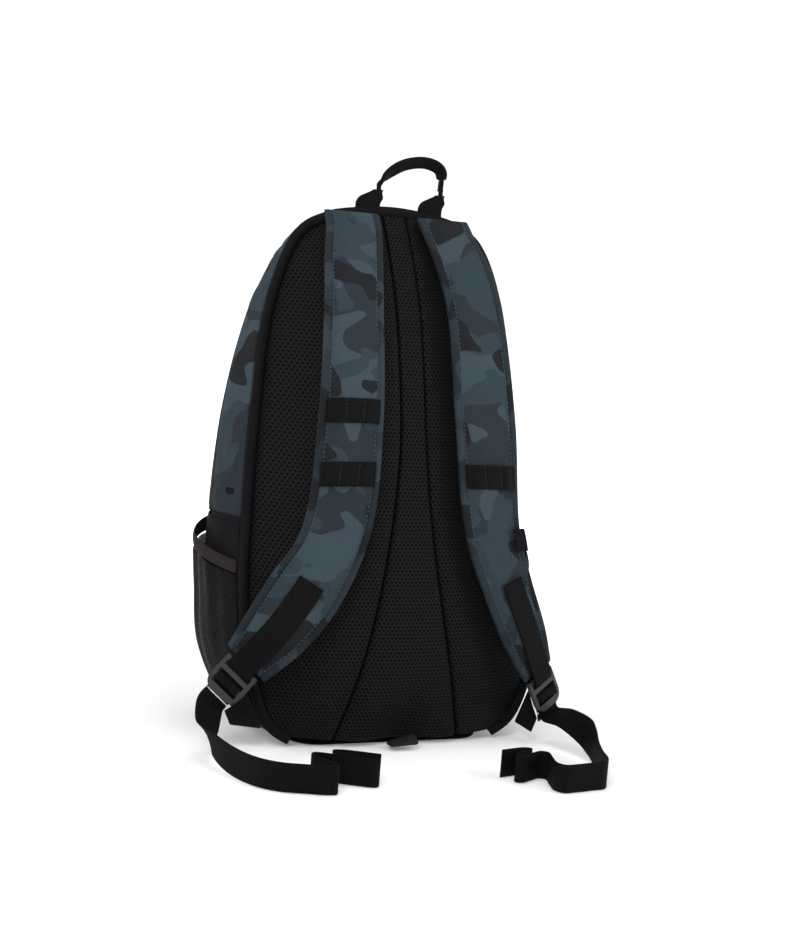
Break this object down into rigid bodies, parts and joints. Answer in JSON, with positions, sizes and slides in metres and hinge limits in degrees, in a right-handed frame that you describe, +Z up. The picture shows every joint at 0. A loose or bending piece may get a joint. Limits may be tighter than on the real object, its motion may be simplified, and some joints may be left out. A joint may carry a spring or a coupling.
{
  "type": "daypack",
  "caption": "Soft daypack with a padded mesh back, padded shoulder straps, a zip front that folds open, mesh side pockets and a grab handle.",
  "frame": {"origin": "centre of the flat base, on the floor", "axes": "+Z up, -Y towards the harness side, +Y towards the front of the bag, +X to the right of someone looking at the harness"},
  "size_m": [0.3655, 0.3416, 0.5367],
  "materials": {
    "camo_fabric": "woven polyester with a blue-grey camouflage print",
    "black_fabric": "black woven polyester",
    "air_mesh": "black spacer mesh over foam",
    "webbing": "black ribbed webbing",
    "board": "stiffener sheet",
    "zip_metal": "black painted slider",
    "lock_plastic": "dark grey moulded plastic, satin"
  },
  "bodies": {
    "pack": {"base_panel": "black_fabric", "back_pad_centre": "air_mesh", "back_pad_left": "air_mesh", "back_pad_right": "air_mesh", "back_board": "board", "inner_sleeve": "black_fabric", "piping_back": "black_fabric", "side_panel_lower_left": "black_fabric", "side_panel_upper_left": "camo_fabric", "side_panel_lower_right": "black_fabric", "side_panel_upper_right": "camo_fabric", "top_panel": "camo_fabric", "main_zip_rear_tape": "black_fabric", "front_panel_lower": "camo_fabric", "side_pocket_left": "air_mesh", "pocket_binding_left": "webbing", "side_pocket_right": "air_mesh", "pocket_binding_right": "webbing", "anchor_wing_left": "black_fabric", "anchor_webbing_left": "webbing", "anchor_wing_right": "black_fabric", "anchor_webbing_right": "webbing", "webbing_tail_left": "webbing", "webbing_tail_right": "webbing", "handle_foot_left": "webbing", "handle_foot_right": "webbing", "bottom_tab": "black_fabric"},
    "flap": {"main_zip_front_tape": "black_fabric", "flap_gusset": "camo_fabric", "piping_front": "black_fabric", "flap_panel": "camo_fabric", "front_pocket_panel": "camo_fabric", "front_pocket_zip": "black_fabric"},
    "main_slider": {"main_slider": "zip_metal"},
    "main_pull": {"main_slider_pull": "black_fabric"},
    "pocket_slider": {"pocket_slider": "zip_metal"},
    "pocket_pull": {"pocket_slider_pull": "black_fabric"},
    "strap_left": {"shoulder_strap_left": "camo_fabric", "strap_loop_left_1": "webbing", "strap_loop_left_2": "webbing", "strap_webbing_left": "webbing"},
    "lock_left": {"ladder_lock_left": "lock_plastic", "threaded_webbing_left": "webbing"},
    "strap_right": {"shoulder_strap_right": "camo_fabric", "strap_loop_right_1": "webbing", "strap_webbing_right": "webbing", "label_tab": "black_fabric"},
    "lock_right": {"ladder_lock_right": "lock_plastic", "threaded_webbing_right": "webbing"},
    "handle": {"grab_handle": "webbing"}
  },
  "joints": [
    {"name": "strap_left_swing", "type": "hinge", "parent": "pack", "child": "strap_left", "pos_m": [-0.047, 0.012, 0.483], "axis": [-1, 0, 0], "range_deg": [0, 25]},
    {"name": "strap_right_swing", "type": "hinge", "parent": "pack", "child": "strap_right", "pos_m": [0.047, 0.012, 0.483], "axis": [-1, 0, 0], "range_deg": [0, 25]},
    {"name": "lock_left_tilt", "type": "hinge", "parent": "strap_left", "child": "lock_left", "pos_m": [-0.15661, -0.0789, 0.07691], "axis": [-0.6251, 0.4896, 0.6078], "range_deg": [0, 25]},
    {"name": "lock_right_tilt", "type": "hinge", "parent": "strap_right", "child": "lock_right", "pos_m": [0.13733, -0.08749, 0.06378], "axis": [-0.8306, -0.3754, -0.4112], "range_deg": [0, 25]},
    {"name": "flap_open", "type": "hinge", "parent": "pack", "child": "flap", "pos_m": [0, 0.101, 0.1945], "axis": [-1, 0, 0], "range_deg": [0, 70]},
    {"name": "main_slider_travel", "type": "slide", "parent": "pack", "child": "main_slider", "axis": [-0.1329, 0.0724, 0.9885], "range_m": [-0.03, 0.03]},
    {"name": "main_pull_swing", "type": "hinge", "parent": "main_slider", "child": "main_pull", "pos_m": [0.15322, 0.05623, 0.28516], "axis": [0.2823, -0.9593, 0], "range_deg": [0, 80]},
    {"name": "pocket_slider_travel", "type": "slide", "parent": "flap", "child": "pocket_slider", "axis": [1, 0, 0], "range_m": [-0.06, 0.045]},
    {"name": "pocket_pull_swing", "type": "hinge", "parent": "pocket_slider", "child": "pocket_pull", "pos_m": [0.0176, 0.09708, 0.3683], "axis": [1, 0, 0], "range_deg": [0, 80]},
    {"name": "handle_fold", "type": "hinge", "parent": "pack", "child": "handle", "pos_m": [0, 0.024, 0.5068], "axis": [1, 0, 0], "range_deg": [-70, 70]}
  ]
}
